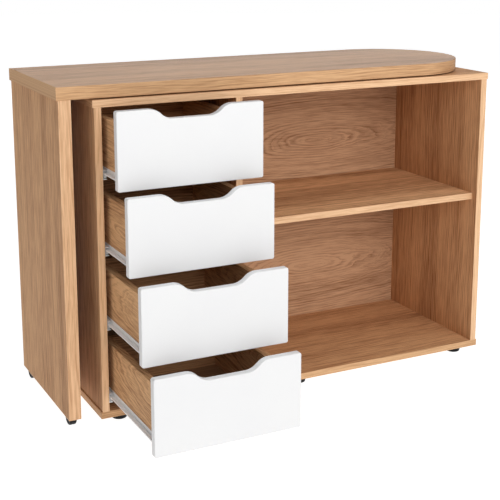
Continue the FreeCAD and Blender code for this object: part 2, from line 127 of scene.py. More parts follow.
class Finish:
    """A material whose nodes are written as expressions."""

    def __init__(self, name):
        self.material = bpy.data.materials.new(name)
        self.material.use_nodes = True
        self.tree = self.material.node_tree
        self.tree.nodes.clear()

    def node(self, kind, settings=None, inputs=None, output=0):
        """Any node: its settings first, then its sockets; gives one output."""
        made = self.tree.nodes.new(kind)
        for key, value in (settings or {}).items():
            setattr(made, key, value)
        for key, value in (inputs or {}).items():
            if isinstance(value, Wire):
                self.tree.links.new(value.socket, made.inputs[key])
            else:
                made.inputs[key].default_value = value
        return Wire(self, made.outputs[output])

    def attribute(self, name, output):
        return self.node("ShaderNodeAttribute", {"attribute_name": name}, output=output)

    def place(self):
        return self.node("ShaderNodeTexCoord", output="Object")

    def split(self, vector):
        """The three parts of a vector."""
        first = self.node("ShaderNodeSeparateXYZ", inputs={0: vector})
        outputs = first.socket.node.outputs
        return [Wire(self, outputs[i]) for i in range(3)]

    def join(self, x, y, z):
        return self.node("ShaderNodeCombineXYZ", inputs={0: x, 1: y, 2: z})

    def noise(self, vector, scale=1.0, detail=2.0, rough=0.5):
        values = {"Vector": vector, "Scale": scale, "Detail": detail, "Roughness": rough}
        return self.node("ShaderNodeTexNoise", {"noise_dimensions": "3D"}, values)

    def line_noise(self, value, detail=2.0):
        values = {"W": value, "Scale": 1.0, "Detail": detail}
        return self.node("ShaderNodeTexNoise", {"noise_dimensions": "1D"}, values)

    def blend(self, factor, first, second, how="MIX"):
        settings = {"data_type": "RGBA", "blend_type": how, "clamp_factor": True}
        return self.node("ShaderNodeMix", settings, {0: factor, 6: first, 7: second}, 2)

    def bump(self, height, strength, distance):
        values = {"Height": height, "Strength": strength, "Distance": distance}
        return self.node("ShaderNodeBump", inputs=values)

    def surface(self, **sockets):
        """Principled surface; underscores in the names stand for spaces."""
        values = {key.replace("_", " "): value for key, value in sockets.items()}
        shader = self.node("ShaderNodeBsdfPrincipled", inputs=values)
        self.node_output(shader)
        return self.material

    def node_output(self, shader):
        made = self.tree.nodes.new("ShaderNodeOutputMaterial")
        self.tree.links.new(shader.socket, made.inputs["Surface"])


def tint(red, green, blue):
    """Colour from 0-255 display values, as linear light."""
    parts = []
    for value in (red, green, blue):
        share = value / 255
        linear = share / 12.92 if share <= 0.04045 else ((share + 0.055) / 1.055) ** 2.4
        parts.append(linear)
    return (*parts, 1.0)


# ---------------------------------------------------------------- finishes
# A decor leaf repeats across the board at this width. Its trunk leans by this slope.
LEAF_WIDTH = 0.347
EYE_SLOPE = 0.2


def oak(name, light, dark, spacing, figured, contrast=1.0, roughness=0.55, gloss=0.05):
    """Oak decor board that reads the piece's own grain coordinates.

    The rings of a figured leaf lie at the distance sqrt((slope * along + depth)^2 +
    across^2) from its eye; a straight leaf has them at even steps across the board.
    """
    f = Finish(name)
    along, across, depth = f.split(f.attribute("grain", "Vector"))
    leaf = f.attribute("leaf", "Fac")
    drift = f.noise(f.join(along * 2.1, across * 5.5, leaf), detail=2.0) - 0.5
    ripple = f.noise(f.join(along * 13.0, across * 38.0, leaf + 7.3), detail=3.0) - 0.5
    if figured:
        rise = (along + drift * 0.28 + ripple * 0.1) * EYE_SLOPE + depth
        side = (across + drift * 0.03).wrapped(-LEAF_WIDTH / 2, LEAF_WIDTH / 2)
        ring = (rise * rise + side * side).root() + ripple * 0.005
    else:
        ring = across + depth * 0.6 + drift * 0.045 + ripple * 0.002
    growth = ring / spacing
    early = (1.0 - growth.fraction()) ** 2.0
    uneven = f.line_noise(growth * 0.73 + leaf, 2.0).between(0.3, 0.7)
    streak = f.noise(f.join(along * 4.0, ring * 300.0, leaf), detail=4.0, rough=0.6)
    fibre = f.noise(f.join(along * 20.0, across * 560.0, depth * 560.0 + leaf), detail=3.0)
    wide = f.noise(f.join(along * 0.7, across * 13.0, leaf + 3.1), detail=2.0)
    pores = f.noise(f.join(along * 60.0, ring * 1800.0, leaf + 9.0), detail=1.0)
    pore = pores.between(0.58, 0.7) * (0.35 + 0.65 * early)
    lines = early * (0.25 + 0.75 * uneven) * (0.5 * contrast)
    streaks = (streak.between(0.3, 0.7) - 0.5) * (0.5 * contrast)
    threads = (fibre.between(0.3, 0.7) - 0.5) * (0.6 * contrast)
    tones = (wide - 0.5) * (1.3 * contrast)
    shade = lines + streaks + threads + tones + pore * 0.25 + 0.22
    colour = f.blend(shade.clamped(), light, dark)
    relief = fibre * 0.4 - pore * 0.9 - early * 0.15
    return f.surface(
        Base_Color=colour,
        Roughness=roughness + (streak - 0.5) * 0.12 + pore * 0.1,
        Specular_IOR_Level=gloss,
        Normal=f.bump(relief, 0.25, 0.0004),
    )


def satin(name, colour, second, roughness, grain_scale=900.0, relief=0.1, **sockets):
    """Plain coating: a faint change of tone, fine orange-peel relief and uneven gloss."""
    f = Finish(name)
    place = f.place()
    cloud = f.noise(place, 9.0, 3.0)
    peel = f.noise(place, grain_scale, 2.0)
    tone = f.blend((cloud * 0.7 + peel * 0.3).between(0.3, 0.7), colour, second)
    return f.surface(
        Base_Color=tone,
        Roughness=roughness + (peel - 0.5) * 0.1 + (cloud - 0.5) * 0.06,
        Normal=f.bump(peel, relief, 0.0002),
        **sockets,
    )


def brushed_steel(name, colour, roughness):
    """Zinc-plated steel: fine scratches and cloudy plating."""
    f = Finish(name)
    x, y, z = f.split(f.place())
    scratch = f.noise(f.join(x * 3000.0, y * 250.0, z * 3000.0), detail=2.0)
    cloud = f.noise(f.place(), 160.0, 3.0)
    dull = tuple(0.72 * c for c in colour[:3]) + (1.0,)
    return f.surface(
        Base_Color=f.blend(cloud.between(0.3, 0.75), colour, dull),
        Metallic=1.0,
        Roughness=roughness + (scratch - 0.5) * 0.25,
        Normal=f.bump(scratch, 0.08, 0.0001),
    )


board_light = tint(218, 171, 127)
board_dark = tint(148, 101, 67)
# The edge strip tones are paler than the boards': partly the band's own honey colour, partly
# painted light for the front light on the front-facing edges.
edge_light = tint(232, 190, 148)
edge_dark = tint(186, 137, 96)
STRAIGHT = oak("oak_straight_leaf", board_light, board_dark, 0.0075, False, 1.0)
# The back panel's cathedral figure is its own; its less saturated tone is painted sheen for the
# inside of the cabinet.
FIGURED_OAK_PAINTED_SHEEN = oak("oak_figured_leaf_painted_sheen", tint(208, 166, 131), tint(142, 101, 72), 0.0068, True, 0.92)
# The shelf's paler light tone and stronger contrast are painted light: a lit copy of the board oak
# for the shelf inside the cabinet.
SHELF_OAK_PAINTED_LIGHT = oak("oak_shelf_leaf_painted_light", tint(238, 192, 146), tint(150, 103, 69), 0.0075, False, 1.15)
# A darker copy of the edge strip oak, for the worktop rim, the bottom strip and the side-facing
# end strips: its darker tone is painted shade.
STRIP_OAK_PAINTED_SHADE = oak("oak_strip_painted_shade", tint(212, 170, 128), tint(160, 116, 80), 0.006, False, 0.9, 0.5)
DRAWER_OAK = oak("oak_drawer_leaf", tint(224, 179, 133), tint(157, 110, 75), 0.008, True, 1.0)
TOP_OAK = oak("oak_worktop_leaf", board_light, board_dark, 0.010, False, 1.0, 0.4, 0.5)
EDGE_OAK_HONEY_AND_PAINTED_LIGHT = oak("oak_edge_strip_honey_and_painted_light", edge_light, edge_dark, 0.006, False, 0.9, 0.4, 0.3)
WHITE_FRONT = satin("white_satin_front", (0.765, 0.765, 0.765, 1), (0.75, 0.75, 0.755, 1), 0.42)
WHITE_ENAMEL = satin("white_enamel", (0.90, 0.90, 0.90, 1), (0.87, 0.87, 0.875, 1), 0.3)
WHITE_NYLON = satin("white_nylon", (0.80, 0.80, 0.77, 1), (0.74, 0.74, 0.71, 1), 0.5)
BLACK_PLASTIC = satin("black_plastic", (0.006, 0.006, 0.007, 1), (0.013, 0.013, 0.014, 1), 0.42,
                      1400.0, 0.25, Specular_IOR_Level=0.12)
STEEL = brushed_steel("zinc_steel", (0.63, 0.63, 0.62, 1), 0.33)
THIN_BOARD = oak("thin_oak_board", tint(178, 140, 106), tint(120, 84, 58), 0.011, False, 0.5, 0.6)
BEECH = oak("beech_dowel", tint(226, 196, 158), tint(188, 150, 110), 0.004, False, 0.5, 0.6)


# ---------------------------------------------------------------- shapes
def rounded_outline(corners, radii, steps=6):
    """Closed outline through flat corners, each turned by an arc tangent to both sides.

    With turn t at a corner of radius r the arc starts r * tan(t / 2) before it; its
    centre is r along the inward normal where the turn is outward, and r along the
    outward normal where it is inward. Gives the points and their outward normals.
    """
    points = np.asarray(corners, float)
    radii = np.broadcast_to(np.asarray(radii, float), len(points))
    before = points - np.roll(points, 1, axis=0)
    after = np.roll(points, -1, axis=0) - points
    before /= np.linalg.norm(before, axis=1)[:, None]
    after /= np.linalg.norm(after, axis=1)[:, None]
    cross = before[:, 0] * after[:, 1] - before[:, 1] * after[:, 0]
    turn = np.arctan2(cross, (before * after).sum(axis=1))
    side = np.sign(turn)
    start = points - before * (radii * np.tan(np.abs(turn) / 2))[:, None]
    first = np.stack([before[:, 1], -before[:, 0]], axis=1)
    centre = start - first * (side * radii)[:, None]
    share = np.linspace(0, 1, steps + 1)
    angle = np.arctan2(first[:, 1], first[:, 0])[:, None] + turn[:, None] * share
    normals = np.stack([np.cos(angle), np.sin(angle)], axis=2)
    line = centre[:, None, :] + normals * (side * radii)[:, None, None]
    return line.reshape(-1, 2), normals.reshape(-1, 2)


def rectangle(x0, x1, y0, y1):
    return [(x0, y0), (x1, y0), (x1, y1), (x0, y1)]


PLANES = {"XY": (0, 1, 2), "YZ": (1, 2, 0), "XZ": (0, 2, 1)}


def rows_shell(rows, closed):
    """Quads between rows of points, with flat caps, or joined last to first if closed."""
    count, length = rows.shape[:2]
    index = np.arange(count * length).reshape(count, length)
    low = index if closed else index[:-1]
    high = np.roll(index, -1, axis=0) if closed else index[1:]
    quads = np.stack([low, np.roll(low, -1, 1), np.roll(high, -1, 1), high], axis=2)
    faces = quads.reshape(-1, 4).tolist()
    if not closed:
        faces += [index[0, ::-1].tolist(), index[-1].tolist()]
    return rows.reshape(-1, 3), faces


def moulded(outline, low, high, plane="XY", edges=(0.3 * MM, 0.3 * MM), steps=3):
    """Flat outline drawn out from low to high, with quarter-round edges at both ends.

    At angle a of a quarter round of radius e the outline moves in by e * (1 - cos a)
    along its normals and the height moves by e * sin a.
    """
    points, normals = outline
    angle = np.linspace(0, math.pi / 2, steps + 1)
    inset = [edges[0] * (1 - np.cos(angle))[::-1], edges[1] * (1 - np.cos(angle))]
    height = [low + edges[0] * (1 - np.sin(angle))[::-1], high - edges[1] * (1 - np.sin(angle))]
    inset = np.concatenate(inset)
    height = np.concatenate(height)
    flat = points[None] - normals[None] * inset[:, None, None]
    rows = np.empty(flat.shape[:2] + (3,))
    a, b, c = PLANES[plane]
    rows[..., a] = flat[..., 0]
    rows[..., b] = flat[..., 1]
    rows[..., c] = height[:, None]
    return rows_shell(rows, False)


def turned(profile, centre, axis, count=40):
    """Closed half-section (distance from the axis, height) carried round an axis."""
    line = profile[0]
    angle = np.arange(count) * (2 * math.pi / count)
    rows = np.empty((len(line), count, 3))
    a, b = [i for i in range(3) if i != axis]
    rows[..., a] = centre[a] + line[:, :1] * np.cos(angle)
    rows[..., b] = centre[b] + line[:, :1] * np.sin(angle)
    rows[..., axis] = centre[axis] + line[:, 1:]
    return rows_shell(rows, True)


def plain_block(low, high):
    """Cutter for pockets and grooves."""
    outline = rounded_outline(rectangle(low[0], high[0], low[1], high[1]), 1e-5, 1)
    return moulded(outline, low[2], high[2], edges=(0, 0), steps=1)


def mesh_of(name, shells):
    """One closed mesh from several shells, seams and poles merged, faces outwards."""
    points, faces, start = [], [], 0
    for shell_points, shell_faces in shells:
        points.append(shell_points)
        faces += [[i + start for i in face] for face in shell_faces]
        start += len(shell_points)
    mesh = bpy.data.meshes.new(name)
    mesh.from_pydata(np.concatenate(points), [], faces)
    edit = bmesh.new()
    edit.from_mesh(mesh)
    bmesh.ops.remove_doubles(edit, verts=edit.verts, dist=2e-7)
    bmesh.ops.recalc_face_normals(edit, faces=edit.faces)
    edit.to_mesh(mesh)
    edit.free()
    return mesh


def carved(mesh, cutters):
    """The mesh with the cutters' room taken out of it."""
    body = bpy.data.objects.new("body_to_carve", mesh)
    tool = bpy.data.objects.new("cutter", mesh_of("cutter", cutters))
    for item in (body, tool):
        bpy.context.scene.collection.objects.link(item)
    cut = body.modifiers.new("pocket", "BOOLEAN")
    cut.operation = "DIFFERENCE"
    cut.solver = "EXACT"
    cut.object = tool
    done = bpy.data.meshes.new_from_object(
        body.evaluated_get(bpy.context.evaluated_depsgraph_get()))
    for item in (body, tool):
        bpy.data.objects.remove(item)
    return done


GRAIN_AXES = {"X": (0, 1, 2), "Y": (1, 2, 0), "Z": (2, 1, 0), "Y flat": (1, 0, 2),
              "X up": (0, 2, 1)}


def grain_of(points, run, eye):
    """Grain coordinates (along, across, depth): distances from the eye along the run."""
    order = GRAIN_AXES[run]
    return np.stack([points[:, order[i]] - eye[i] for i in range(3)], axis=1)


def build(name, mesh, body, finish, nodes=(), grain=None):
    """Places a finished piece: shading, grain coordinates, body, slot and CAD nodes."""
    mesh.name = name
    mesh.materials.clear()
    mesh.materials.append(finish)
    if grain is not None:
        points = np.empty(len(mesh.vertices) * 3)
        mesh.vertices.foreach_get("co", points)
        values = grain(points.reshape(-1, 3))
        mesh.attributes.new("grain", "FLOAT_VECTOR", "POINT").data.foreach_set(
            "vector", values.astype(np.float32).ravel())
        leaf = np.full(len(mesh.vertices), rng.uniform(0, 60), np.float32)
        mesh.attributes.new("leaf", "FLOAT", "POINT").data.foreach_set("value", leaf)
    mesh.polygons.foreach_set("use_smooth", np.ones(len(mesh.polygons), bool))
    mesh.set_sharp_from_angle(angle=math.radians(40))
    piece = bpy.data.objects.new(name, mesh)
    bpy.context.scene.collection.objects.link(piece)
    level = piece.modifiers.new("face_normals", "WEIGHTED_NORMAL")
    level.keep_sharp = True
    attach(piece, body)
    if nodes:
        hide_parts(*nodes)
    return piece


def with_grain(run, along, across, depth):
    return lambda points: grain_of(points, run, (along, across, depth))


def limits(node):
    low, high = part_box(node)
    return np.array(low), np.array(high)


# ---------------------------------------------------------------- cabinet boards
ARRIS = 0.3 * MM
bands_low, bands_high = limits("cabinet_edge_bands")
mid_x = (bands_low[0] + bands_high[0]) / 2
front_y = bands_low[1]
back_low, back_high = limits("back_panel")
GROOVE_PLAY = 0.2 * MM
groove = plain_block(back_low - (GROOVE_PLAY,) * 3, back_high + (GROOVE_PLAY,) * 3)


def slab(low, high, thin, arris=ARRIS):
    """Rectangular board whose thin axis is given, with a small arris all round."""
    plane, axis = {0: ("YZ", 0), 1: ("XZ", 1), 2: ("XY", 2)}[thin]
    a, b, _ = PLANES[plane]
    outline = rounded_outline(rectangle(low[a], high[a], low[b], high[b]), arris, 2)
    return moulded(outline, low[axis], high[axis], plane, (arris, arris), 2)


def board(node, thin, run, eye, body="cabinet", finish=STRAIGHT, cuts=()):
    """Board standing for one CAD node, with its grain running along an axis."""
    low, high = limits(node)
    mesh = mesh_of(node, [slab(low, high, thin)])
    if cuts:
        mesh = carved(mesh, cuts)
    centre = (low + high) / 2
    order = GRAIN_AXES[run]
    place = [centre[order[i]] + eye[i] for i in range(3)]
    return build(node + "_board", mesh, body, finish, (node,), with_grain(run, *place))


board("cabinet_top_panel", 2, "X", (0.2, 0.05, 0), cuts=[groove])
board("cabinet_bottom_panel", 2, "X", (-0.1, 0.02, 0), cuts=[groove])
board("left_side_panel", 0, "Z", (0.1, 0.0, 0), cuts=[groove])
board("right_side_panel", 0, "Z", (0.3, 0.03, 0), cuts=[groove])
board("divider_panel", 0, "Z", (-0.2, 0.0, 0))
# The shelf takes the lit copy of the board oak: painted light.
board("adjustable_shelf", 2, "X", (0.1, 0.1, 0), finish=SHELF_OAK_PAINTED_LIGHT)

EYE_X = 0.250
EYE_Z = 0.522
back_eye = with_grain("X up", mid_x + EYE_X, EYE_Z, back_low[1])
build("back_panel_board", mesh_of("back_panel", [slab(back_low, back_high, 1, 0.2 * MM)]),
      "cabinet", FIGURED_OAK_PAINTED_SHEEN, ("back_panel",), back_eye)


# ---------------------------------------------------------------- edge bands
BAND = 1.0 * MM
SOFT = 0.5 * MM
FLUSH = 0.04 * MM


def front_strip(x0, x1, z0, z1, y0, run):
    """Upright or lying strip on a front edge, rounded on its outer face."""
    if run == "X":
        corners = [(y0, z0), (y0 + BAND, z0), (y0 + BAND, z1), (y0, z1)]
        outline = rounded_outline(corners, (SOFT, FLUSH, FLUSH, SOFT), 4)
        return moulded(outline, x0, x1, "YZ", (FLUSH, FLUSH), 1)
    corners = [(x0, y0), (x1, y0), (x1, y0 + BAND), (x0, y0 + BAND)]
    outline = rounded_outline(corners, (SOFT, SOFT, FLUSH, FLUSH), 4)
    return moulded(outline, z0, z1, "XY", (FLUSH, FLUSH), 1)


def end_strip(x_outer, x_inner, y0, y1, z0, z1):
    """Lying strip on a panel's end, rounded on its outer face."""
    corners = [(x_outer, z0), (x_inner, z0), (x_inner, z1), (x_outer, z1)]
    radii = (SOFT, FLUSH, FLUSH, SOFT)
    if x_outer > x_inner:
        corners = corners[::-1]
    return moulded(rounded_outline(corners, radii, 4), y0, y1, "XZ", (FLUSH, FLUSH), 1)


top_low, top_high = limits("cabinet_top_panel")
bottom_low, bottom_high = limits("cabinet_bottom_panel")
shelf_low, shelf_high = limits("adjustable_shelf")
lying, upright, ends = [], [], []
for low, high in ((top_low, top_high), (bottom_low, bottom_high)):
    lying.append(front_strip(bands_low[0], bands_high[0], low[2], high[2], front_y, "X"))
    ends.append(end_strip(bands_low[0], low[0], low[1], high[1], low[2], high[2]))
    ends.append(end_strip(bands_high[0], high[0], low[1], high[1], low[2], high[2]))
lying.append(front_strip(shelf_low[0], shelf_high[0], shelf_low[2], shelf_high[2],
                         shelf_low[1] - BAND, "X"))
for node in ("left_side_panel", "divider_panel", "right_side_panel"):
    low, high = limits(node)
    upright.append(front_strip(low[0], high[0], low[2], high[2], front_y, "Z"))
top_strip, bottom_strip, shelf_strip = lying
build("edge_bands_lying", mesh_of("bands", [top_strip, shelf_strip]), "cabinet",
      EDGE_OAK_HONEY_AND_PAINTED_LIGHT, ("cabinet_edge_bands",), with_grain("X up", 0, 0.3, 0))
# The bottom strip and the end strips take the darker strip oak: painted shade.
build("edge_band_bottom", mesh_of("bands", [bottom_strip]), "cabinet", STRIP_OAK_PAINTED_SHADE,
      (), with_grain("X up", 0, 0.35, 0))
build("edge_bands_upright", mesh_of("bands", upright), "cabinet", EDGE_OAK_HONEY_AND_PAINTED_LIGHT,
      (), with_grain("Z", 0, 0.1, 0))
build("edge_bands_ends", mesh_of("bands", ends), "cabinet", STRIP_OAK_PAINTED_SHADE,
      (), with_grain("Y", 0, 0.2, 0))

# ---------------------------------------------------------------- worktop and leg
SWING = "swing_top"
slab_low, slab_high = limits("worktop_edge_band")
half_depth = (slab_high[1] - slab_low[1]) / 2
pivot_x = slab_high[0] - half_depth
pivot_y = (slab_low[1] + slab_high[1]) / 2
TOP_BAND = 2.0 * MM


def worktop_outline(inset, corner):
    """Square left end, half-round right end about the pivot."""
    x0, x1 = slab_low[0] + inset, slab_high[0] - inset
    y0, y1 = slab_low[1] + inset, slab_high[1] - inset
    round_end = (y1 - y0) / 2 * (1 - 1e-6)
    return rounded_outline(rectangle(x0, x1, y0, y1), (corner, round_end, round_end, corner), 28)


board_outline = worktop_outline(TOP_BAND, 0.1 * MM)
worktop_mesh = mesh_of("worktop", [moulded(board_outline, slab_low[2], slab_high[2],
                                           edges=(0.05 * MM, 0.05 * MM), steps=1)])
build("worktop_board_slab", worktop_mesh, SWING, TOP_OAK, ("worktop_board",),
      with_grain("X", pivot_x, pivot_y + 0.05, slab_high[2]))

outer_line, outer_normals = worktop_outline(0.0, 1.2 * MM)
inner_line = board_outline[0]
EDGE_ROUND = 1.0 * MM
quarter = np.linspace(0, math.pi / 2, 5)
pull_in = EDGE_ROUND * (1 - np.cos(quarter))
insets = np.concatenate([pull_in[::-1], pull_in])
heights = np.concatenate([slab_low[2] + EDGE_ROUND * (1 - np.sin(quarter))[::-1],
                          slab_high[2] - EDGE_ROUND * (1 - np.sin(quarter))])
band_rows = np.empty((len(insets) + 2, len(outer_line), 3))
band_rows[:-2, :, :2] = outer_line[None] - outer_normals[None] * insets[:, None, None]
band_rows[:-2, :, 2] = heights[:, None]
band_rows[-2:, :, :2] = inner_line[None]
band_rows[-2, :, 2] = slab_high[2]
band_rows[-1, :, 2] = slab_low[2]


def rim_grain(points):
    """Along the rim: X on the long sides, the arc's length round the end."""
    across = np.abs(points[:, 1] - pivot_y)
    straight = points[:, 0] - (half_depth - across)
    arc = pivot_x + half_depth * np.arctan2(points[:, 0] - pivot_x, across)
    along = np.where(points[:, 0] > pivot_x, arc, straight)
    return np.stack([along, points[:, 2] - 0.4, np.zeros(len(points))], axis=1)


build("worktop_rim", mesh_of("rim", [rows_shell(band_rows, True)]), SWING, STRIP_OAK_PAINTED_SHADE,
      ("worktop_edge_band",), rim_grain)

housing_low, housing_high = limits("castor_housings")
leg_low, leg_high = limits("leg_panel")
leg_band_low, leg_band_high = limits("leg_edge_bands")
axle_low, axle_high = limits("castor_axles")
wheel_nodes = ("front_castor_wheel", "rear_castor_wheel")
wheel_boxes = [limits(node) for node in wheel_nodes]
wheel_r = (wheel_boxes[0][1][2] - wheel_boxes[0][0][2]) / 2
wheel_rows = [(low[1] + high[1]) / 2 for low, high in wheel_boxes]
axle_z = (axle_low[2] + axle_high[2]) / 2
HOUSING_LENGTH = 47.0 * MM
FIT = 0.05 * MM
pockets = []
for y in wheel_rows:
    pockets.append(plain_block(
        (housing_low[0] - FIT, y - HOUSING_LENGTH / 2 - FIT, leg_band_low[2] - 1 * MM),
        (housing_high[0] + FIT, y + HOUSING_LENGTH / 2 + FIT, housing_high[2] + FIT)))
board("leg_panel", 0, "Z", (0.15, 0.06, 0), SWING, cuts=pockets)

leg_strips = []
for y0, y1 in ((leg_band_low[1], leg_low[1]), (leg_band_high[1], leg_high[1])):
    corners = [(leg_low[0], y0), (leg_high[0], y0), (leg_high[0], y1), (leg_low[0], y1)]
    radii = (SOFT, SOFT, FLUSH, FLUSH)
    if y0 > y1:
        corners = corners[::-1]
        radii = (FLUSH, FLUSH, SOFT, SOFT)
    outline = rounded_outline(corners, radii, 4)
    leg_strips.append(moulded(outline, leg_band_low[2], leg_high[2], "XY", (FLUSH, FLUSH), 1))
build("leg_bands_upright", mesh_of("leg_bands", leg_strips), SWING, EDGE_OAK_HONEY_AND_PAINTED_LIGHT,
      ("leg_edge_bands",), with_grain("Z", 0, 0.7, 0))
foot_strip = slab((leg_low[0], leg_low[1], leg_band_low[2]),
                  (leg_high[0], leg_high[1], leg_low[2]), 2, 0.2 * MM)
build("leg_band_bottom", carved(mesh_of("leg_foot_band", [foot_strip]), pockets), SWING,
      EDGE_OAK_HONEY_AND_PAINTED_LIGHT, (), with_grain("Y flat", 0, 0.1, 0))

# ---------------------------------------------------------------- castors
EAR = 7.0 * MM
WALL = 1.9 * MM
WHEEL_ROOM = 1.5 * MM
HOUSING_ROUND = 0.5 * MM
WHEEL_BORE, HUB_R, RIM_R = 2.55 * MM, 7.0 * MM, 16.0 * MM
DISH, DISH_DRAFT = 1.5 * MM, 0.3 * MM
TREAD_GROOVE = 0.7 * MM
housings = []
rooms = []
for y in wheel_rows:
    half = HOUSING_LENGTH / 2
    z0, z1 = leg_band_low[2], housing_high[2]
    corners = [(y - half, z0), (y - EAR - 1.5 * MM, z0), (y - EAR, axle_z - EAR),
               (y + EAR, axle_z - EAR), (y + EAR + 1.5 * MM, z0), (y + half, z0),
               (y + half, z1), (y - half, z1)]
    radii = np.array((0.6, 1.5, 5.6, 5.6, 1.5, 0.6, 1.0, 1.0)) * MM
    outline = rounded_outline(corners, radii, 8)
    housings.append(moulded(outline, housing_low[0], housing_high[0], "YZ",
                            (HOUSING_ROUND, HOUSING_ROUND), 3))
    reach = wheel_r + WHEEL_ROOM
    rooms.append(plain_block((housing_low[0] + WALL, y - reach, -0.001),
                             (housing_high[0] - WALL, y + reach, axle_z + reach)))
build("castor_housing_pair", carved(mesh_of("housings", housings), rooms), SWING,
      BLACK_PLASTIC, ("castor_housings",))

for node, (low, high) in zip(wheel_nodes, wheel_boxes):
    half = (high[0] - low[0]) / 2
    centre = (low + high) / 2
    floor_of_groove = wheel_r - TREAD_GROOVE
    near_hub, near_rim = HUB_R + DISH_DRAFT, RIM_R - DISH_DRAFT
    section = [(WHEEL_BORE, -half), (HUB_R, -half), (near_hub, -half + DISH),
               (near_rim, -half + DISH), (RIM_R, -half), (wheel_r, -half),
               (wheel_r, -1.2 * MM), (floor_of_groove, -0.6 * MM),
               (floor_of_groove, 0.6 * MM), (wheel_r, 1.2 * MM), (wheel_r, half),
               (RIM_R, half), (near_rim, half - DISH), (near_hub, half - DISH),
               (HUB_R, half), (WHEEL_BORE, half)]
    face_radii = (0.2, 0.4, 0.3, 0.3, 0.5, 3.0, 0.2, 0.2)
    radii = np.array(face_radii + face_radii[::-1]) * MM
    shell = turned(rounded_outline(section, radii, 5), centre, 0, 56)
    build(node + "_tyre", mesh_of(node, [shell]), node.replace("_wheel", ""),
          BLACK_PLASTIC, (node,))

# ---------------------------------------------------------------- feet
feet_low, feet_high = limits("glide_feet")
FOOT_TOP, FOOT_BOTTOM, FOOT_WAIST = 20.0 * MM, 17.0 * MM, 18.6 * MM
FOOT_HEIGHT, COLLAR_LOW, SCREW_ROOM, SCREW_BORE = 15.0 * MM, 10.0 * MM, 5.0 * MM, 1.95 * MM
SCREW_SEAT, WAIST_HEIGHT = 6.0 * MM, 9.0 * MM
feet = []
foot_columns = (feet_low[0] + FOOT_TOP, mid_x, feet_high[0] - FOOT_TOP)
for x in foot_columns:
    for y in (feet_low[1] + FOOT_TOP, feet_high[1] - FOOT_TOP):
        section = [(SCREW_BORE, SCREW_SEAT), (SCREW_ROOM, SCREW_SEAT), (SCREW_ROOM, 0.0),
                   (FOOT_BOTTOM, 0.0), (FOOT_WAIST, WAIST_HEIGHT), (FOOT_TOP, COLLAR_LOW),
                   (FOOT_TOP, FOOT_HEIGHT), (SCREW_BORE, FOOT_HEIGHT)]
        radii = np.array((0.2, 0.3, 0.5, 2.0, 0.8, 0.8, 0.5, 0.2)) * MM
        feet.append(turned(rounded_outline(section, radii, 5), (x, y, 0.0), 2, 48))
build("glide_feet_set", mesh_of("feet", feet), "cabinet", BLACK_PLASTIC,
      ("glide_feet",))

# ---------------------------------------------------------------- drawers
FRONT_CORNER = 4.0 * MM
FRONT_ROUND = 1.8 * MM
NOTCH_WIDTH, NOTCH_DEPTH, NOTCH_SLOPE, NOTCH_R = 190 * MM, 22 * MM, math.radians(42), 38 * MM
STEEL_THICK = 1.2 * MM
BOX_GAP = 12.5 * MM
# Heights of the drawer's runner profile above the front's lower edge.
SHELF_UNDER, SHELF_TOP, FLANGE_TOP, TAIL_LOW = 10.8 * MM, 12.0 * MM, 26.0 * MM, 5.5 * MM
TRACK_LOW, TRACK_HIGH, LIP_LOW = 15.8 * MM, 17.0 * MM, 14.2 * MM
TRACK_END, LIP_INNER, SHELF_REACH, TAIL_LENGTH = 2.6 * MM, 3.8 * MM, 14.0 * MM, 16.0 * MM
PIN_R, PIN_START, PIN_END, ROLLER_BORE = 2.0 * MM, 3.0 * MM, 11.0 * MM, 2.05 * MM
RAIL_LOW, RAIL_HIGH, RAIL_REACH = 2.2 * MM, 22.0 * MM, 10.0 * MM
RUNNER_END = 0.1 * MM


def front_outline(x0, x1, z0, z1):
    """Front with a finger notch: the flanks slope, and every bend of it is an arc.

    The slope's corner on the edge lies r * tan(slope / 2) inside the shoulder's start.
    """
    middle = (x0 + x1) / 2
    lead = NOTCH_R * math.tan(NOTCH_SLOPE / 2)
    brow = NOTCH_WIDTH / 2 - lead
    toe = brow - NOTCH_DEPTH / math.tan(NOTCH_SLOPE)
    corners = [(x0, z0), (x1, z0), (x1, z1), (middle + brow, z1), (middle + toe, z1 - NOTCH_DEPTH),
               (middle - toe, z1 - NOTCH_DEPTH), (middle - brow, z1), (x0, z1)]
    radii = (FRONT_CORNER,) * 3 + (NOTCH_R,) * 4 + (FRONT_CORNER,)
    return rounded_outline(corners, radii, 12)


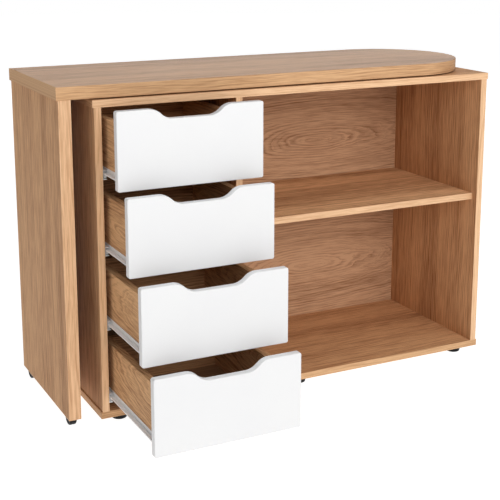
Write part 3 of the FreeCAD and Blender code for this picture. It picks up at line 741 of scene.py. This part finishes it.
def runner_shells(side, x_wall, y0, y1, z):
    """Drawer profile: flange up the side, foot under it, track outwards with a lip.

    side is +1 where the bay's wall is on the left and the drawer lies towards +X.
    """
    def at(distance, height):
        return (x_wall + side * distance, z + height)
    near = BOX_GAP - STEEL_THICK
    under = BOX_GAP + SHELF_REACH
    section = [at(near, SHELF_UNDER), at(under, SHELF_UNDER), at(under, SHELF_TOP),
               at(BOX_GAP, SHELF_TOP), at(BOX_GAP, FLANGE_TOP), at(near, FLANGE_TOP),
               at(near, TRACK_HIGH), at(TRACK_END, TRACK_HIGH), at(TRACK_END, LIP_LOW),
               at(LIP_INNER, LIP_LOW), at(LIP_INNER, TRACK_LOW), at(near, TRACK_LOW)]
    tail = [at(near, TAIL_LOW), at(BOX_GAP, TAIL_LOW), at(BOX_GAP, SHELF_UNDER),
            at(under, SHELF_UNDER), at(under, SHELF_TOP), at(BOX_GAP, SHELF_TOP),
            at(BOX_GAP, FLANGE_TOP), at(near, FLANGE_TOP)]
    radii = np.array((0.8, 0.3, 0.3, 0.1, 0.3, 0.3, 0.1, 0.9, 0.3, 0.3, 0.1, 0.1)) * MM
    tail_radii = np.array((0.3, 0.3, 0.1, 0.3, 0.3, 0.1, 0.3, 0.3)) * MM
    if side < 0:
        section, radii = section[::-1], radii[::-1]
        tail, tail_radii = tail[::-1], tail_radii[::-1]
    cut = y1 - TAIL_LENGTH
    return [moulded(rounded_outline(section, radii, 3), y0, cut, "XZ", (RUNNER_END, 0), 1),
            moulded(rounded_outline(tail, tail_radii, 3), cut, y1, "XZ", (0, RUNNER_END), 1)]


def roller_shell(low, high, bore):
    """Nylon roller: rounded tread with a shallow ring on each face."""
    half = (high[0] - low[0]) / 2
    r = (high[2] - low[2]) / 2
    section = [(bore, -half), (r - 1.6 * MM, -half), (r - 1.4 * MM, -half + 0.3 * MM),
               (r, -half + 0.3 * MM), (r, half - 0.3 * MM), (r - 1.4 * MM, half - 0.3 * MM),
               (r - 1.6 * MM, half), (bore, half)]
    radii = np.array((0.1, 0.15, 0.1, 0.4, 0.4, 0.1, 0.15, 0.1)) * MM
    return turned(rounded_outline(section, radii, 3), (low + high) / 2, 0, 36)


def pin_shell(x0, x1, y, z, r):
    """Riveted pin with a rounded head at each end."""
    low, high = min(x0, x1), max(x0, x1)
    section = [(0, low), (r, low), (r, high), (0, high)]
    outline = rounded_outline(section, (1e-6, 0.3 * MM, 0.3 * MM, 1e-6), 3)
    return turned(outline, (0, y, z), 0, 24)


def two_rollers(node):
    """Boxes of the two rollers of a node, left and right."""
    points = np.array([v.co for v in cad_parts[node].data.vertices], float)
    middle = (points[:, 0].min() + points[:, 0].max()) / 2
    sets = (points[points[:, 0] < middle], points[points[:, 0] > middle])
    return [(s.min(axis=0), s.max(axis=0)) for s in sets]


left_wall = limits("left_side_panel")[1][0]
right_wall = limits("divider_panel")[0][0]
for number in range(1, 5):
    drawer = "drawer_" + str(number)
    low, high = limits(drawer + "_front")
    bottom_low_d, bottom_high_d = limits(drawer + "_bottom")
    play = np.array((0.2, 0.2, 0.1)) * MM
    room = plain_block(bottom_low_d - play, bottom_high_d + play + (0, 2 * MM, 0))
    outline = front_outline(low[0], high[0], low[2], high[2])
    plate = moulded(outline, low[1], high[1], "XZ", (FRONT_ROUND, 0.4 * MM), 6)
    build(drawer + "_front_panel", carved(mesh_of(drawer, [plate]), [room]), drawer,
          WHITE_FRONT, (drawer + "_front",))
    for word, shift in (("left", 0.0), ("right", 0.11)):
        eye = (-0.02 - 0.09 * number + shift, -0.05 + 0.025 * number, 0.008)
        board(drawer + "_" + word + "_side", 0, "Y", eye, drawer, finish=DRAWER_OAK, cuts=[room])
    board(drawer + "_back", 1, "X up", (0.3, 0.02, 0), drawer)
    board(drawer + "_bottom", 2, "X", (0.1, 0, 0), drawer, THIN_BOARD)
    runner_low, runner_high = limits(drawer + "_runners")
    z = low[2]
    shells = runner_shells(1, left_wall, runner_low[1], runner_high[1], z)
    shells += runner_shells(-1, right_wall, runner_low[1], runner_high[1], z)
    near = BOX_GAP - STEEL_THICK
    rear = two_rollers(drawer + "_rollers")
    front = two_rollers("cabinet_rollers_" + str(number))
    roller_y = (rear[0][0][1] + rear[0][1][1]) / 2
    roller_z = (rear[0][0][2] + rear[0][1][2]) / 2
    for side, wall in ((1, left_wall), (-1, right_wall)):
        shells.append(pin_shell(wall + side * PIN_START, wall + side * near,
                                roller_y, roller_z, PIN_R))
    build(drawer + "_runner_pair", mesh_of(drawer, shells), drawer, WHITE_ENAMEL,
          (drawer + "_runners",))
    build(drawer + "_roller_pair",
          mesh_of(drawer, [roller_shell(a, b, ROLLER_BORE) for a, b in rear]),
          drawer + "_rear_rollers", WHITE_NYLON, (drawer + "_rollers",))
    build("cabinet_roller_pair_" + str(number),
          mesh_of(drawer, [roller_shell(a, b, ROLLER_BORE) for a, b in front]),
          "cabinet_rollers_" + str(number), WHITE_NYLON,
          ("cabinet_rollers_" + str(number),))

# ---------------------------------------------------------------- cabinet rails
rails_low, rails_high = limits("runner_rails")
rail_shells = []
for number in range(1, 5):
    z = limits("drawer_" + str(number) + "_front")[0][2]
    (a, b), _ = two_rollers("cabinet_rollers_" + str(number))
    roller_y = (a[1] + b[1]) / 2
    roller_z = (a[2] + b[2]) / 2
    low_z, high_z = z + RAIL_LOW, z + RAIL_HIGH
    for side, wall in ((1, left_wall), (-1, right_wall)):
        tip, web = wall + side * RAIL_REACH, wall + side * STEEL_THICK
        section = [(wall, low_z), (tip, low_z), (tip, low_z + STEEL_THICK),
                   (web, low_z + STEEL_THICK), (web, high_z - STEEL_THICK),
                   (tip, high_z - STEEL_THICK), (tip, high_z), (wall, high_z)]
        radii = np.array((1.0, 0.3, 0.3, 0.6, 0.6, 0.3, 0.3, 1.0)) * MM
        if side < 0:
            section, radii = section[::-1], radii[::-1]
        rail_shells.append(moulded(rounded_outline(section, radii, 3), rails_low[1], rails_high[1],
                                   "XZ", (RUNNER_END, RUNNER_END), 1))
        rail_shells.append(pin_shell(web, wall + side * PIN_END, roller_y, roller_z, PIN_R))
build("runner_rail_set", mesh_of("rails", rail_shells), "cabinet", WHITE_ENAMEL,
      ("runner_rails",))


# ---------------------------------------------------------------- fittings kept as they are
def finish_node(node, finish):
    """Gives a CAD node that stays its finish."""
    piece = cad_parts[node]
    if not piece.material_slots:
        piece.data.materials.append(finish)
    for place in piece.material_slots:
        place.link = "OBJECT"
        place.material = finish


for node in ("foot_screws", "assembly_screws", "runner_rail_screws", "pivot_bolt", "pivot_nut",
             "leg_cam_locks", "leg_cam_bolts", "castor_axles", "shelf_pins"):
    finish_node(node, STEEL)
finish_node("pivot_bushing", WHITE_NYLON)
finish_node("panel_dowels", BEECH)

# ---------------------------------------------------------------- camera
CAMERA_LEFT, CAMERA_AHEAD, CAMERA_HEIGHT = 1.26965, 2.24511, 1.08427
CAMERA_DOWN, CAMERA_TURN = math.radians(12.36), math.radians(-26.58)
SENSOR, FOCUS_WIDTHS = 36.0, 2.2721
camera_data = bpy.data.cameras.new("camera")
camera = bpy.data.objects.new("camera", camera_data)
bpy.context.scene.collection.objects.link(camera)
camera.location = (mid_x - CAMERA_LEFT, front_y - CAMERA_AHEAD, CAMERA_HEIGHT)
camera.rotation_euler = (math.pi / 2 - CAMERA_DOWN, 0, CAMERA_TURN)
camera_data.sensor_width = SENSOR
camera_data.lens = FOCUS_WIDTHS * SENSOR
camera_data.shift_y = -0.15
bpy.context.scene.camera = camera

# ---------------------------------------------------------------- floor and light
def pale_floor():
    """Wide round floor, brighter than a lit one so that shadows on it stay faint."""
    f = Finish("pale_floor")
    cloud = f.noise(f.place(), 2.0, 2.0)
    tone = f.blend(cloud, (0.93, 0.93, 0.93, 1), (0.95, 0.95, 0.95, 1))
    paint = f.node("ShaderNodeBsdfDiffuse", inputs={"Color": tone})
    glow = f.node("ShaderNodeEmission", inputs={"Color": (1, 1, 1, 1), "Strength": 1.53})
    f.node_output(f.node("ShaderNodeMixShader", inputs={0: 0.62, 1: paint, 2: glow}))
    return f.material


FLOOR_SIDES, FLOOR_RADIUS, FLOOR_DROP = 96, 12.0, 0.0005
angle = np.arange(FLOOR_SIDES) * (2 * math.pi / FLOOR_SIDES)
rim = np.stack([FLOOR_RADIUS * np.cos(angle), FLOOR_RADIUS * np.sin(angle),
                np.full(FLOOR_SIDES, -FLOOR_DROP)], axis=1)
floor_mesh = bpy.data.meshes.new("floor")
floor_mesh.from_pydata(rim, [], [list(range(FLOOR_SIDES))])
floor_mesh.materials.append(pale_floor())
floor = bpy.data.objects.new("floor", floor_mesh)
bpy.context.scene.collection.objects.link(floor)
floor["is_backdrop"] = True


def softbox(name, place, target, width, height, power):
    """Rectangular area light facing a point."""
    data = bpy.data.lights.new(name, "AREA")
    data.shape = "RECTANGLE"
    data.size, data.size_y = width, height
    data.energy = power
    lamp = bpy.data.objects.new(name, data)
    bpy.context.scene.collection.objects.link(lamp)
    lamp.location = place
    lamp.visible_camera = False
    lamp.rotation_euler = (Vector(target) - Vector(place)).to_track_quat("-Z", "Y").to_euler()
    return lamp


softbox("key", (-0.7, -4.4, 2.8), (0, 0, 0.4), 2.8, 2.0, 104)
softbox("fill", (1.2, -4.4, 1.4), (0, 0, 0.4), 2.4, 1.8, 36)
softbox("overhead", (0.0, -0.4, 3.4), (0, 0, 0.4), 3.0, 2.4, 34)
softbox("backdrop", (2.4, 4.5, 1.1), (0, 0, 0.7), 4.8, 1.8, 40)

world = bpy.data.worlds.new("studio")
world.use_nodes = True
bpy.context.scene.world = world
nodes, links = world.node_tree.nodes, world.node_tree.links
nodes.clear()
path = nodes.new("ShaderNodeLightPath")
seen = nodes.new("ShaderNodeBackground")
seen.inputs["Color"].default_value = (1, 1, 1, 1)
lighting = nodes.new("ShaderNodeBackground")
lighting.inputs["Color"].default_value = (1, 1, 1, 1)
heading = nodes.new("ShaderNodeTexCoord")
toward = nodes.new("ShaderNodeVectorMath")
toward.operation = "DOT_PRODUCT"
toward.inputs[1].default_value = (-0.35, 0.94, 0.0)
shade = nodes.new("ShaderNodeMapRange")
shade.interpolation_type = "SMOOTHSTEP"
for key, value in zip(("From Min", "From Max", "To Min", "To Max"), (0.1, 0.9, 0.18, 0.06)):
    shade.inputs[key].default_value = value
choice = nodes.new("ShaderNodeMixShader")
out = nodes.new("ShaderNodeOutputWorld")
links.new(heading.outputs["Generated"], toward.inputs[0])
links.new(toward.outputs["Value"], shade.inputs["Value"])
links.new(shade.outputs[0], lighting.inputs["Strength"])
links.new(path.outputs["Is Camera Ray"], choice.inputs[0])
links.new(lighting.outputs[0], choice.inputs[1])
links.new(seen.outputs[0], choice.inputs[2])
links.new(choice.outputs[0], out.inputs["Surface"])

bpy.context.scene.view_settings.view_transform = "Standard"

# ---------------------------------------------------------------- sizes and finish
low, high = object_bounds()
